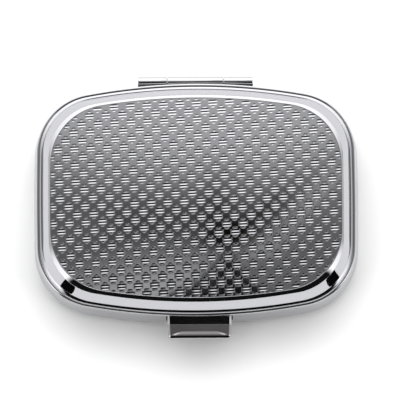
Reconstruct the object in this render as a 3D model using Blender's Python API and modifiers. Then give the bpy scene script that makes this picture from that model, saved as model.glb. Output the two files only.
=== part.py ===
"""A pocket pill box of pressed and plated steel, with a rear hinge, a front push catch and a tray.

Metres, +Z up. The origin is the centre of the flat bottom, and the catch faces -Y.
"""

from math import atan2, cos, hypot, pi, sin, sqrt

import bmesh
import bpy
from mathutils import Matrix

MM = 0.001

# Plan of the rims, where lid and base meet. An inset is measured inwards from this outline.
RIM_HALF_WIDTH = 26.4 * MM
RIM_HALF_DEPTH = 19.36 * MM
LONG_SIDE_BOW = 100 * MM
SHORT_SIDE_BOW = 400 * MM
CORNER_RADIUS = 10.0 * MM
ARC_STEPS = (3, 8, 7)

# Gauge of the pressings, and the gap left between pieces that touch.
SHEET = 0.5 * MM
STRIP = 0.4 * MM
HINGE_STRIP = 0.3 * MM
GAP = 0.3 * MM

# How far cutters reach, to be well outside what they cut.
CLEAR_X = 40 * MM
CLEAR_Y = 24 * MM
CLEAR_Z = 12 * MM

# Heights, from the bottom up.
BASE_BELLY_Z = 4.2 * MM
BASE_EDGE_Z = 9.05 * MM
BASE_RIM_Z = 9.35 * MM
LID_RIM_Z = 10.05 * MM
RIM_THICKNESS = 0.4 * MM
LID_EDGE_Z = LID_RIM_Z + RIM_THICKNESS + GAP
LID_SHOULDER = 2.3 * MM
LID_DOME = 0.7 * MM

# Base pan: flared wall above a rounded belly.
BASE_EDGE_INSET = 0.1 * MM
BELLY_INSET = -0.5 * MM
FLOOR_INSET = 3.0 * MM

# Lid cover: a skirt, then a rounded shoulder up to a domed panel, whose short sides are bowed too.
LID_EDGE_INSET = 0.5 * MM
PANEL_SIDE_DROP = 0.45
PANEL_HALF_WIDTH = 24.0 * MM
PANEL_HALF_DEPTH = 16.6 * MM

# Hoops that stiffen the two halves.
BASE_HOOP = (0.95 * MM, 1.35 * MM)
BASE_HOOP_FOOT_Z = 6.0 * MM
LID_HOOP = (1.5 * MM, 1.9 * MM)
LID_HOOP_TOP_Z = 11.2 * MM

# Rear hinge.
HINGE_Y = 19.91 * MM
HINGE_Z = 9.0 * MM
KNUCKLE_RADIUS = 0.85 * MM
KNUCKLE_BORE = 0.55 * MM
PIN_RADIUS = 0.47 * MM
HINGE_HALF_LENGTH = 9.53 * MM
LID_KNUCKLE_HALF = 4.62 * MM
KNUCKLE_GAP = 0.16 * MM
LEAF_TOP_Z = HINGE_Z + KNUCKLE_RADIUS
BASE_LEAF_Y = 17.25 * MM
BASE_LEAF_DROP_Z = 8.0 * MM
BASE_LEAF_Z = (6.6 * MM, LEAF_TOP_Z - 0.9 * MM)

# Front catch. The tab stands slightly to the right of the middle.
CATCH_X = 0.45 * MM
TAB_HALF_WIDTH = 5.3 * MM
TAB_FRONT_Y = -22.85 * MM
TAB_BACK_Y = -20.5 * MM
TAB_TOP_Z = 9.05 * MM
TAB_FOOT_Z = 5.7 * MM
TAB_BEND = 0.6 * MM
EAR_HALF_WIDTH = 6.2 * MM
EAR_Y = -17.4 * MM
SLIDE_BACK_Y = -15.3 * MM
SLOT_HALF_WIDTH = 3.0 * MM
SLOT_Y = (-18.3 * MM, -16.66 * MM)
KEEPER_HALF_WIDTH = 2.5 * MM
KEEPER_Y = -17.1 * MM
NOSE_Y = -16.2 * MM
NOSE_Z = 8.35 * MM
BRACKET_HALF_WIDTH = 9.0 * MM
BRACKET_Y = (-17.05 * MM, -12.9 * MM)
BRACKET_Z = (5.0 * MM, 8.9 * MM)

# The leaf spring behind the slide, and the rivets that hold the bracket.
SPRING_HALF_WIDTH = 4.2 * MM
SPRING_Z = (6.2 * MM, 8.3 * MM)
SPRING_GAUGE = 0.2 * MM
RIVET_X = 7.8 * MM
RIVET_Z = 7.2 * MM
RIVET_Y = (-18.45 * MM, -16.3 * MM)
RIVET_SHANK = 0.5 * MM
RIVET_HEAD = 0.9 * MM
RIVET_HEAD_HEIGHT = 0.28 * MM
RIVET_HOLE = 0.65 * MM

# Plastic tray, and the mirror glued under the lid.
TRAY_WALL = 0.8 * MM
TRAY_FLOOR_Z = 0.85 * MM
TRAY_RIM_Z = 9.6 * MM
TRAY_RIM_THICKNESS = 0.5 * MM
TRAY_RIM_INSET = 1.65 * MM
TRAY_BODY_INSET = 2.75 * MM
TRAY_OUTSIDE = [(5.2 * MM, TRAY_FLOOR_Z), (4.0 * MM, 1.2 * MM), (3.1 * MM, 2.4 * MM)]
TRAY_INSIDE = [(5.4 * MM, TRAY_FLOOR_Z + TRAY_WALL), (4.6 * MM, 1.95 * MM), (3.9 * MM, 2.9 * MM)]
POCKET_HALF_WIDTH = 9.6 * MM
POCKET_Y = -12.35 * MM
POCKET_TOP_Z = 9.2 * MM
KEEPER_GAP_Z = 8.0 * MM
LEAF_RELIEF = (16.63 * MM, 6.0 * MM)
MIRROR_INSET = 2.25 * MM
MIRROR_Z = (11.35 * MM, 12.15 * MM)
PAD_INSET = 8.0 * MM
PAD_Z = (12.25 * MM, 12.5 * MM)

COLOURS = {
    "lid_steel": ((0.62, 0.62, 0.65), 1.0, 0.08),
    "base_steel": ((0.58, 0.58, 0.61), 1.0, 0.1),
    "rim_steel": ((0.66, 0.66, 0.68), 1.0, 0.12),
    "hinge_steel": ((0.6, 0.6, 0.62), 1.0, 0.15),
    "catch_steel": ((0.5, 0.49, 0.49), 1.0, 0.16),
    "spring_steel": ((0.42, 0.42, 0.43), 1.0, 0.3),
    "rivet_steel": ((0.5, 0.5, 0.52), 1.0, 0.3),
    "tray_plastic": ((0.9, 0.9, 0.88), 0.0, 0.4),
    "mirror_glass": ((0.88, 0.9, 0.9), 1.0, 0.02),
    "foam_tape": ((0.85, 0.85, 0.83), 0.0, 0.9),
}


def clear_scene():
    for obj in list(bpy.data.objects):
        bpy.data.objects.remove(obj, do_unlink=True)


def new_collection(name):
    collection = bpy.data.collections.new(name)
    bpy.context.scene.collection.children.link(collection)
    return collection


clear_scene()
PARTS = new_collection("pill_box")
CUTTERS = new_collection("cutters")


def material(name):
    found = bpy.data.materials.get(name)
    if found:
        return found
    colour, metallic, roughness = COLOURS[name]
    made = bpy.data.materials.new(name)
    made.use_nodes = True
    shader = made.node_tree.nodes["Principled BSDF"]
    shader.inputs["Base Color"].default_value = (*colour, 1)
    shader.inputs["Metallic"].default_value = metallic
    shader.inputs["Roughness"].default_value = roughness
    return made


def add_mesh(name, bm, finish=None):
    """A mesh object from a bmesh: a part when it has a finish, and a cutter when it hasn't."""
    bmesh.ops.recalc_face_normals(bm, faces=bm.faces)
    mesh = bpy.data.meshes.new(name)
    bm.to_mesh(mesh)
    bm.free()
    obj = bpy.data.objects.new(name, mesh)
    if finish:
        mesh.materials.append(material(finish))
        mesh.shade_smooth()
        mesh.set_sharp_from_angle(angle=pi / 6)
        PARTS.objects.link(obj)
    else:
        obj.hide_render = True
        obj.display_type = "WIRE"
        CUTTERS.objects.link(obj)
    return obj


def combine(obj, operation, *others):
    for other in others:
        boolean = obj.modifiers.new(f"{operation.lower()}_{other.name}", "BOOLEAN")
        boolean.operation = operation
        boolean.object = other
    return obj


def cut(obj, *cutters):
    return combine(obj, "DIFFERENCE", *cutters)


def join(obj, *others):
    return combine(obj, "UNION", *others)


def thicken(obj, thickness, offset=-1):
    solidify = obj.modifiers.new("sheet", "SOLIDIFY")
    solidify.thickness = thickness
    solidify.offset = offset
    solidify.use_even_offset = True
    return obj


def arc(centre, radius, start, end, steps):
    """Points along an arc, leaving out its last one."""
    angles = [start + (end - start) * i / steps for i in range(steps)]
    return [(centre[0] + radius * cos(a), centre[1] + radius * sin(a)) for a in angles]


def outline(inset=0.0, half_width=RIM_HALF_WIDTH, half_depth=RIM_HALF_DEPTH):
    """The box's plan: four bowed sides and four round corners, as points that run anticlockwise from +X."""
    across, along = half_width - inset, half_depth - inset
    side, front, corner = (bow - inset for bow in (SHORT_SIDE_BOW, LONG_SIDE_BOW, CORNER_RADIUS))
    side_centre, front_centre = (across - side, 0.0), (0.0, along - front)
    # The corner arc touches both bows from inside, so its centre is a known distance from each of theirs.
    to_side, to_front = side - corner, front - corner
    gap_x, gap_y = -side_centre[0], front_centre[1]
    apart = hypot(gap_x, gap_y)
    foot = (to_side**2 - to_front**2 + apart**2) / (2 * apart)
    rise = sqrt(to_side**2 - foot**2)
    corner_centre = (
        side_centre[0] + (foot * gap_x - rise * gap_y) / apart,
        (foot * gap_y + rise * gap_x) / apart,
    )
    low = atan2(corner_centre[1], corner_centre[0] - side_centre[0])
    high = atan2(corner_centre[1] - front_centre[1], corner_centre[0])
    quarter = arc(side_centre, side, 0, low, ARC_STEPS[0])
    quarter += arc(corner_centre, corner, low, high, ARC_STEPS[1])
    quarter += arc(front_centre, front, high, pi / 2, ARC_STEPS[2])
    half = quarter + [(0.0, along)] + [(-x, y) for x, y in reversed(quarter)]
    return half + [(-x, -y) for x, y in half[1:-1]]


def loft(rings, closed_section=False, cap_first=False, cap_last=False):
    """A surface through rings of equally many points, each ring a list of (x, y, z)."""
    bm = bmesh.new()
    made = [[bm.verts.new(point) for point in ring] for ring in rings]
    pairs = list(zip(made, made[1:] + made[:1] if closed_section else made[1:]))
    for lower, upper in pairs:
        for i in range(len(lower)):
            bm.faces.new((lower[i - 1], lower[i], upper[i], upper[i - 1]))
    if cap_first:
        bm.faces.new(made[0])
    if cap_last:
        bm.faces.new(made[-1])
    return bm


def level_ring(points, z):
    return [(x, y, z) for x, y in points]


def hoop(name, section, finish):
    """A hoop that follows the plan, from a closed section of (inset, z) points."""
    rings = [level_ring(outline(inset), z) for inset, z in section]
    return add_mesh(name, loft(rings, closed_section=True), finish)


def box(low, high, name, finish=None):
    bm = bmesh.new()
    bmesh.ops.create_cube(bm, size=1)
    bmesh.ops.scale(bm, vec=[b - a for a, b in zip(low, high)], verts=bm.verts)
    middle = [(a + b) / 2 for a, b in zip(low, high)]
    bmesh.ops.translate(bm, vec=middle, verts=bm.verts)
    return add_mesh(name, bm, finish)


def slab(name, x_ends, y_ends, z_ends):
    """A box between two ends on each axis, given in either order."""
    low, high = zip(*(sorted(ends) for ends in (x_ends, y_ends, z_ends)))
    return box(low, high, name)


def rod(name, start, end, radius, finish=None, segments=20):
    """A round bar from start to end, along X or Y."""
    bm = bmesh.new()
    length = max(abs(b - a) for a, b in zip(start, end))
    bmesh.ops.create_cone(
        bm, cap_ends=True, segments=segments, radius1=radius, radius2=radius, depth=length
    )
    along_x = abs(end[0] - start[0]) > abs(end[1] - start[1])
    turn = Matrix.Rotation(pi / 2, 4, "Y" if along_x else "X")
    bmesh.ops.transform(bm, matrix=turn, verts=bm.verts)
    middle = [(a + b) / 2 for a, b in zip(start, end)]
    bmesh.ops.translate(bm, vec=middle, verts=bm.verts)
    return add_mesh(name, bm, finish)


def strip(name, profile, x_low, x_high, thickness, finish=None, offset=-1):
    """Sheet bent along X: an open (y, z) profile, extruded and given its gauge on one side."""
    bm = bmesh.new()
    chain = [bm.verts.new((x_low, y, z)) for y, z in profile]
    edges = [bm.edges.new(pair) for pair in zip(chain, chain[1:])]
    extruded = bmesh.ops.extrude_edge_only(bm, edges=edges)["geom"]
    moved = [item for item in extruded if isinstance(item, bmesh.types.BMVert)]
    bmesh.ops.translate(bm, vec=(x_high - x_low, 0, 0), verts=moved)
    return thicken(add_mesh(name, bm, finish), thickness, offset)


def put_origin(obj, point):
    """Moves an object's origin to a point, and leaves its shape where it is."""
    obj.data.transform(Matrix.Translation([-value for value in point]))
    obj.location = point


def panel_point(x, y):
    """A point of the panel's dome, which falls away to the long sides, and less to the short ones."""
    bow = 1 - PANEL_SIDE_DROP * (x / PANEL_HALF_WIDTH) ** 2
    rise = LID_DOME * bow * (1 - (y / PANEL_HALF_DEPTH) ** 2)
    return (x, y, LID_EDGE_Z + LID_SHOULDER + rise)


def lid_shoulder(turned):
    """A ring of the lid's shoulder, turned from 0 at its upright lower edge to 1 at the panel."""
    angle = turned * pi / 2
    lower = outline(LID_EDGE_INSET)
    upper = [panel_point(x, y) for x, y in outline(0, PANEL_HALF_WIDTH, PANEL_HALF_DEPTH)]
    share, lift = 1 - cos(angle), sin(angle)
    ring = []
    for (x, y), (edge_x, edge_y, edge_z) in zip(lower, upper):
        z = LID_EDGE_Z + (edge_z - LID_EDGE_Z) * lift
        ring.append((x + (edge_x - x) * share, y + (edge_y - y) * share, z))
    return ring


def make_lid_cover():
    steps = 6
    rings = [lid_shoulder(i / steps) for i in range(steps + 1)]
    edge = rings[-1]
    for scale in (0.75, 0.45, 0.15):
        rings.append([panel_point(x * scale, y * scale) for x, y, _ in edge])
    return thicken(add_mesh("lid_cover", loft(rings, cap_last=True), "lid_steel"), SHEET)


def make_lid_frame():
    outer, inner = LID_HOOP
    top = LID_RIM_Z + RIM_THICKNESS
    section = [(0, LID_RIM_Z), (0, top), (outer, top)]
    section += [(outer, LID_HOOP_TOP_Z), (inner, LID_HOOP_TOP_Z), (inner, LID_RIM_Z)]
    return hoop("lid_frame", section, "rim_steel")


def make_base_cover():
    """The pan, with a notch at the back for the hinge and a window at the front for the catch."""
    steps = 6
    reach = FLOOR_INSET - BELLY_INSET
    rings = [level_ring(outline(BASE_EDGE_INSET), BASE_EDGE_Z)]
    for i in range(steps + 1):
        angle = pi / 2 * i / steps
        inset = FLOOR_INSET - reach * cos(angle)
        rings.append(level_ring(outline(inset), BASE_BELLY_Z * (1 - sin(angle))))
    pan = thicken(add_mesh("base_cover", loft(rings, cap_last=True), "base_steel"), SHEET)
    notch_floor = HINGE_Z - KNUCKLE_RADIUS - GAP
    half = HINGE_HALF_LENGTH + GAP
    behind_hoop = RIM_HALF_DEPTH - BASE_HOOP[0] + 0.1 * MM
    hinge_notch = slab("hinge_notch", (-half, half), (behind_hoop, CLEAR_Y), (notch_floor, CLEAR_Z))
    return cut(pan, hinge_notch, catch_window("pan_window", CLEAR_Z))


def catch_window(name, top_z):
    """The window that the catch slides through, in the front wall."""
    half = TAB_HALF_WIDTH + GAP
    x_ends = (CATCH_X - half, CATCH_X + half)
    return slab(name, x_ends, (-CLEAR_Y, EAR_Y - 0.1 * MM), (TAB_FOOT_Z - GAP, top_z))


def make_base_frame():
    """The base's hoop: a rim that shows at the joint line, and a wall down inside the pan."""
    outer, inner = BASE_HOOP
    top = BASE_RIM_Z + RIM_THICKNESS
    section = [(0, BASE_RIM_Z), (0, top), (inner, top)]
    section += [(inner, BASE_HOOP_FOOT_Z), (outer, BASE_HOOP_FOOT_Z), (outer, BASE_RIM_Z)]
    frame = hoop("base_frame", section, "rim_steel")
    half = HINGE_HALF_LENGTH + GAP
    gap_floor = LEAF_TOP_Z - HINGE_STRIP - GAP
    y_ends = (RIM_HALF_DEPTH - 3 * MM, CLEAR_Y)
    leaf_gap = slab("leaf_gap", (-half, half), y_ends, (gap_floor, CLEAR_Z))
    window = catch_window("frame_window", BASE_RIM_Z - 0.01 * MM)
    return cut(frame, leaf_gap, window, *rivet_holes("hoop", -CLEAR_Y, EAR_Y + MM))


def both_sides(distance, middle=CATCH_X):
    """Name, direction and place of the two sides, at a distance from the middle."""
    return (("left", -1, middle - distance), ("right", 1, middle + distance))


def rivet_holes(name, front_y, back_y):
    """Cutters for the two rivets' holes."""
    return [
        rod(f"{name}_hole_{side}", (x, front_y, RIVET_Z), (x, back_y, RIVET_Z), RIVET_HOLE)
        for side, _, x in both_sides(RIVET_X)
    ]


def knuckle(name, x_low, x_high, finish=None):
    """A rolled tube about the hinge's axis."""
    tube = rod(name, (x_low, HINGE_Y, HINGE_Z), (x_high, HINGE_Y, HINGE_Z), KNUCKLE_RADIUS, finish)
    bore = (x_low - MM, HINGE_Y, HINGE_Z), (x_high + MM, HINGE_Y, HINGE_Z)
    return cut(tube, rod(f"{name}_bore", *bore, KNUCKLE_BORE))


def make_lid_hinge_leaf():
    """The middle knuckle, and a leaf that runs in under the lid's rim and up inside its hoop."""
    x = LID_KNUCKLE_HALF
    leaf = knuckle("lid_hinge_leaf", -x, x, "hinge_steel")
    upright_y = RIM_HALF_DEPTH - LID_HOOP[1] - GAP
    low_z = LEAF_TOP_Z - HINGE_STRIP
    front_y = upright_y - HINGE_STRIP
    tongue = slab("lid_tongue", (-x, x), (front_y, HINGE_Y - KNUCKLE_BORE / 2), (low_z, LEAF_TOP_Z))
    z_ends = (low_z + 0.05 * MM, LID_HOOP_TOP_Z - GAP)
    leaf = join(leaf, tongue, slab("lid_upright", (-x, x), (front_y, upright_y), z_ends))
    put_origin(leaf, (0, HINGE_Y, HINGE_Z))
    return leaf


def make_base_hinge_leaf():
    """Both outer knuckles, on one leaf that hangs down inside the base's hoop."""
    inner, outer = KNUCKLE_GAP + LID_KNUCKLE_HALF, HINGE_HALF_LENGTH
    leaf = knuckle("base_hinge_leaf", -outer, -inner, "hinge_steel")
    right = knuckle("right_knuckle", inner, outer)
    front_y, back_y = BASE_LEAF_Y - HINGE_STRIP, BASE_LEAF_Y
    parts = []
    for name, side, _ in both_sides(outer, 0):
        x_ends = (side * inner, side * outer)
        tongue_z = (LEAF_TOP_Z - HINGE_STRIP, LEAF_TOP_Z)
        parts.append(slab(f"{name}_tongue", x_ends, (front_y, HINGE_Y - KNUCKLE_BORE / 2), tongue_z))
        drop_z = (BASE_LEAF_DROP_Z, LEAF_TOP_Z - 0.05 * MM)
        parts.append(slab(f"{name}_drop", x_ends, (front_y, back_y), drop_z))
    plate = slab("leaf_plate", (-outer, outer), (front_y, back_y), BASE_LEAF_Z)
    return join(leaf, *parts, plate, right)


def make_hinge_pin():
    x = HINGE_HALF_LENGTH - 0.1 * MM
    return rod("hinge_pin", (-x, HINGE_Y, HINGE_Z), (x, HINGE_Y, HINGE_Z), PIN_RADIUS, "hinge_steel")


def make_catch():
    """The push catch: a thumb tab bent down at its front, and a slide that runs in over the keeper."""
    bend_centre = (TAB_FRONT_Y + TAB_BEND, TAB_TOP_Z - TAB_BEND)
    profile = [(SLIDE_BACK_Y, TAB_FOOT_Z), (SLIDE_BACK_Y, TAB_TOP_Z)]
    profile += arc(bend_centre, TAB_BEND, pi / 2, pi, 5)
    profile += [(TAB_FRONT_Y, bend_centre[1]), (TAB_FRONT_Y, TAB_FOOT_Z)]
    ear = EAR_HALF_WIDTH
    catch = strip("push_catch", profile, CATCH_X - ear, CATCH_X + ear, STRIP, "catch_steel")
    trims, cheeks = [], []
    for name, side, x in both_sides(TAB_HALF_WIDTH):
        trims.append(slab(f"{name}_trim", (x, x + side * CLEAR_X), (-CLEAR_Y, EAR_Y), (0, CLEAR_Z)))
        y_ends = (TAB_FRONT_Y + STRIP - 0.05 * MM, TAB_BACK_Y)
        z_ends = (TAB_FOOT_Z, TAB_TOP_Z - 0.05 * MM)
        cheeks.append(slab(f"{name}_cheek", (x, x - side * STRIP), y_ends, z_ends))
    slot_x = (CATCH_X - SLOT_HALF_WIDTH, CATCH_X + SLOT_HALF_WIDTH)
    slot = slab("keeper_slot", slot_x, SLOT_Y, (TAB_TOP_Z - MM, TAB_TOP_Z + MM))
    catch = join(cut(catch, *trims, slot), *cheeks)
    put_origin(catch, (CATCH_X, TAB_BACK_Y, TAB_TOP_Z))
    return catch


def make_keeper():
    """The lid's hook: a strip that hangs into the base, with a nose under the slide's edge."""
    nose_floor = NOSE_Z - STRIP
    profile = [(KEEPER_Y, LID_HOOP_TOP_Z - GAP), (KEEPER_Y, nose_floor), (NOSE_Y, nose_floor)]
    x = KEEPER_HALF_WIDTH
    return strip("lid_keeper", profile, CATCH_X - x, CATCH_X + x, STRIP, "catch_steel")


def make_rivet(name, x):
    """A rivet along Y, with a head at each end."""
    front, back = RIVET_Y
    rivet = rod(name, (x, front, RIVET_Z), (x, back, RIVET_Z), RIVET_SHANK, "rivet_steel", 16)
    spans = ((front, front + RIVET_HEAD_HEIGHT), (back - RIVET_HEAD_HEIGHT, back))
    heads = [
        rod(f"{name}_head_{i}", (x, low, RIVET_Z), (x, high, RIVET_Z), RIVET_HEAD, None, 16)
        for i, (low, high) in enumerate(spans)
    ]
    return join(rivet, *heads)


def make_bracket():
    """The guide behind the catch: a floor, a back for the spring, and two tabs riveted to the hoop."""
    front, back = BRACKET_Y
    floor, top = BRACKET_Z
    x = BRACKET_HALF_WIDTH
    profile = [(front, top), (front, floor), (back, floor), (back, top)]
    bracket = strip("catch_bracket", profile, CATCH_X - x, CATCH_X + x, STRIP, "spring_steel")
    gap = EAR_HALF_WIDTH + STRIP
    y_ends = (-CLEAR_Y, front + 2 * STRIP)
    opening = slab("bracket_gap", (CATCH_X - gap, CATCH_X + gap), y_ends, (0, CLEAR_Z))
    return cut(bracket, opening, *rivet_holes("tab", -CLEAR_Y, front + MM))


def make_spring():
    """A bowed leaf spring between the bracket's back and the slide's turned-down end."""
    ends, crown = BRACKET_Y[1] - STRIP - 0.1 * MM, SLIDE_BACK_Y + 0.25 * MM
    low, high = SPRING_Z
    steps = 14
    bm = bmesh.new()
    chain = []
    for i in range(steps + 1):
        share = 2 * i / steps - 1
        y = crown + (ends - crown) * share**2
        chain.append(bm.verts.new((CATCH_X + SPRING_HALF_WIDTH * share, y, low)))
    edges = [bm.edges.new(pair) for pair in zip(chain, chain[1:])]
    extruded = bmesh.ops.extrude_edge_only(bm, edges=edges)["geom"]
    raised = [item for item in extruded if isinstance(item, bmesh.types.BMVert)]
    bmesh.ops.translate(bm, vec=(0, 0, high - low), verts=raised)
    return thicken(add_mesh("catch_spring", bm, "spring_steel"), SPRING_GAUGE, 0)


def make_tray():
    """The moulded tray: two wells, a divider, a rim, and a covered pocket for the catch's works."""
    body, rim = TRAY_BODY_INSET, TRAY_RIM_INSET
    under_rim = TRAY_RIM_Z - TRAY_RIM_THICKNESS
    outside = TRAY_OUTSIDE + [(body, under_rim), (rim, under_rim), (rim, TRAY_RIM_Z)]
    rings = [level_ring(outline(inset), z) for inset, z in outside]
    tray = add_mesh("pill_tray", loft(rings, cap_first=True, cap_last=True), "tray_plastic")
    wall = TRAY_WALL
    inside = TRAY_INSIDE + [(body + wall, TRAY_RIM_Z + MM)]
    rings = [level_ring(outline(inset), z) for inset, z in inside]
    wells = add_mesh("wells", loft(rings, cap_first=True, cap_last=True))
    divider = slab("divider", (-wall / 2, wall / 2), (-CLEAR_Y, CLEAR_Y), (0, CLEAR_Z))
    boss = pocket_box("pocket_wall", wall, CLEAR_Z)
    cut(wells, divider, boss)
    pocket = pocket_box("pocket", 0, POCKET_TOP_Z)
    x = KEEPER_HALF_WIDTH + 0.5 * MM
    keeper_y = (KEEPER_Y - 2 * MM, NOSE_Y + 0.45 * MM)
    keeper_gap = slab("keeper_gap", (CATCH_X - x, CATCH_X + x), keeper_y, (KEEPER_GAP_Z, CLEAR_Z))
    x = HINGE_HALF_LENGTH + GAP
    relief_y, relief_z = LEAF_RELIEF
    leaf_relief = slab("leaf_relief", (-x, x), (relief_y, CLEAR_Y), (relief_z, CLEAR_Z))
    return cut(tray, wells, pocket, keeper_gap, leaf_relief)


def pocket_box(name, wall, top_z):
    """The pocket's block, larger by a wall all round."""
    half = POCKET_HALF_WIDTH + wall
    return slab(name, (CATCH_X - half, CATCH_X + half), (-CLEAR_Y, POCKET_Y + wall), (0, top_z))


def flat_plate(name, inset, z_range, finish):
    """A plate of the box's own plan, such as the mirror."""
    curve = bpy.data.curves.new(name, "CURVE")
    curve.dimensions = "2D"
    curve.fill_mode = "BOTH"
    curve.extrude = (z_range[1] - z_range[0]) / 2
    points = outline(inset)
    spline = curve.splines.new("POLY")
    spline.points.add(len(points) - 1)
    for point, (x, y) in zip(spline.points, points):
        point.co = (x, y, 0, 1)
    spline.use_cyclic_u = True
    curve.materials.append(material(finish))
    plate = bpy.data.objects.new(name, curve)
    plate.location.z = sum(z_range) / 2
    PARTS.objects.link(plate)
    return plate


def build():
    make_lid_cover()
    make_lid_frame()
    make_lid_hinge_leaf()
    make_keeper()
    flat_plate("lid_mirror", MIRROR_INSET, MIRROR_Z, "mirror_glass")
    flat_plate("mirror_pad", PAD_INSET, PAD_Z, "foam_tape")
    make_base_cover()
    make_base_frame()
    make_base_hinge_leaf()
    make_hinge_pin()
    make_catch()
    make_bracket()
    make_spring()
    make_tray()
    for side, _, x in both_sides(RIVET_X):
        make_rivet(f"bracket_rivet_{side}", x)


build()
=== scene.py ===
"""A pocket pill box of bright plated steel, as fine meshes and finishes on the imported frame.

Lengths are in metres, +Z up, and the catch faces -Y.
"""

from math import atan2, cos, hypot, pi, sin, sqrt, tan

import bmesh
import bpy
import numpy as np
from mathutils import Matrix, Vector


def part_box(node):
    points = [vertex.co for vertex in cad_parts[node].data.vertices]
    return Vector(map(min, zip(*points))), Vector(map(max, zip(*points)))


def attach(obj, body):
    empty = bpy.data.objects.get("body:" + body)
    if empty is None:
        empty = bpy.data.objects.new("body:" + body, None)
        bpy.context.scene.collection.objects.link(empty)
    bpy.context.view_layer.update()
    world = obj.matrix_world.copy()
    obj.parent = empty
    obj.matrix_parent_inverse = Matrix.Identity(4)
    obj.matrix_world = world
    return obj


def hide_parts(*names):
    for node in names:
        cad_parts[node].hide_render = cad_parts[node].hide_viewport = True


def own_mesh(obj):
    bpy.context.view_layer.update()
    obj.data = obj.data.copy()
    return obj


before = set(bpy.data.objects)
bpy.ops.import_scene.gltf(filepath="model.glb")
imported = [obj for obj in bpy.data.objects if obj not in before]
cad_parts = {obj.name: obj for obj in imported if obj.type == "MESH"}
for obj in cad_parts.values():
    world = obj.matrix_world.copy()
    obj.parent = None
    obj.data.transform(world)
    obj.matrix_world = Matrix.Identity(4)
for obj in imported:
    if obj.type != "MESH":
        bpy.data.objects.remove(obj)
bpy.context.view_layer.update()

MM = 0.001
DEGREE = pi / 180

# Plan of the rims, from the frame. An inset is measured inwards from this outline.
RIM_HALF_WIDTH, RIM_HALF_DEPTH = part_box("lid_frame")[1][:2]
LONG_SIDE_BOW = 100 * MM
SHORT_SIDE_BOW = 400 * MM
CORNER_RADIUS = 10.0 * MM
ARC_STEPS = (8, 20, 18)

# Heights of the two halves.
LID_RIM_Z, LID_HOOP_TOP_Z = (corner.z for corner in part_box("lid_frame"))
LID_EDGE_Z, LID_TOP_Z = (corner.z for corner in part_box("lid_cover"))
BASE_HOOP_FOOT_Z, BASE_RIM_TOP_Z = (corner.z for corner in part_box("base_frame"))
BASE_EDGE_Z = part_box("base_cover")[1].z
BASE_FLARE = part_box("base_cover")[1].x - RIM_HALF_WIDTH
SHEET = 0.45 * MM

# Lid: a shoulder round an embossed panel.
PANEL_HALF_WIDTH = 24.0 * MM
PANEL_HALF_DEPTH = 16.6 * MM
PANEL_DOME = 0.7 * MM
PANEL_SIDE_DROP = 0.45
PANEL_EDGE_Z = LID_TOP_Z - PANEL_DOME
FOOT_INSET = 0.56 * MM

# The shoulder's tilt in degrees, by the share of its width from the panel's edge to its foot.
SHOULDER_TILTS = (
    (0.0, 14), (0.12, 27), (0.24, 40), (0.33, 50), (0.38, 54),
    (0.8, 56), (0.86, 46), (0.92, 28), (1.0, 0),
)  # fmt: skip

# Embossing: lozenges of four grooves, on a square lattice with a lozenge in each cell's middle too.
CELL = 2.725 * MM
GROOVE_PITCH = CELL / 6
GROOVE_DEPTH = 0.06 * MM
GROOVE_HALF_WIDTH = 0.19 * MM
LONG_GROOVE = 0.68 * MM
SHORT_GROOVE = 0.17 * MM
PATTERN_TURN = 2.3 * DEGREE
PATTERN_AT = (0.68 * MM, 2.11 * MM)

# Rear hinge.
HINGE_Y = sum(corner.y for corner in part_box("hinge_pin")) / 2
HINGE_Z = sum(corner.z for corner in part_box("hinge_pin")) / 2
HINGE_HALF_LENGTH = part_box("base_hinge_leaf")[1].x
LID_KNUCKLE_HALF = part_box("lid_hinge_leaf")[1].x
KNUCKLE_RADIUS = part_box("base_hinge_leaf")[1].y - HINGE_Y
PIN_RADIUS = 0.47 * MM
KNUCKLE_BORE = 0.52 * MM
HINGE_STRIP = 0.3 * MM
HINGE_DECK_Z = HINGE_Z + KNUCKLE_RADIUS - HINGE_STRIP / 2
HINGE_CLEARANCE = 0.3 * MM

# Front catch: a thumb tab, on a slide that runs in over the keeper.
TAB_LOW, TAB_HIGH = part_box("push_catch")
CATCH_X = (TAB_LOW.x + TAB_HIGH.x) / 2
TAB_HALF_WIDTH = 5.3 * MM
TAB_ROOT_Y = -18.2 * MM
TAB_CORNER = 0.6 * MM
TAB_BEND = 0.42 * MM
TAB_GAUGE = 0.4 * MM
TAB_TAPER = 0.028
EAR_HALF_WIDTH = 6.2 * MM
EAR_Y = -17.4 * MM
SLOT_HALF_WIDTH = 3.0 * MM
SLOT_Y = (-18.3 * MM, -16.66 * MM)

# The tab's top: a steep fall from its root, then a flat with a raised lip near the front.
ROOT_FALL = 0.16 * MM
ROOT_FALL_LENGTH = 1.3 * MM
FLAT_START_Y = -20.55 * MM
FLAT_SLOPE = 0.03
LIP_START_Y = -21.55 * MM
LIP_HEIGHT = 0.055 * MM
LIP_HALF_WIDTH = (2.75 * MM, 4.5 * MM)
LIP_EDGE = 0.3 * MM

# The tray's pocket over the catch's works, and how far cutters reach to be clear of what they cut.
TRAY_WALL = 0.8 * MM
POCKET_HALF_WIDTH = 9.6 * MM
POCKET_Y = -12.35 * MM
POCKET_TOP_Z = 9.2 * MM
CLEAR_X = 40 * MM
CLEAR_Y = 22 * MM
CLEAR_Z = 14 * MM

# The camera's tilt in degrees, which the tent's top is turned with, and the tent's walls, as
# (degrees round from the front, brightness).
CAMERA_ELEVATION = 82
CEILING_SHIFT = CAMERA_ELEVATION - 80
WALL_TONES = (
    (-180, 2.2), (-130, 1.7), (-105, 0.8), (-85, 0.75), (-70, 1.7), (-49, 2.0), (-43, 0.01),
    (52, 0.01), (58, 2.0), (74, 1.7), (88, 0.75), (108, 0.8), (130, 1.7), (180, 2.2),
)  # fmt: skip


# ---------------------------------------------------------------- colours and materials


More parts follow.
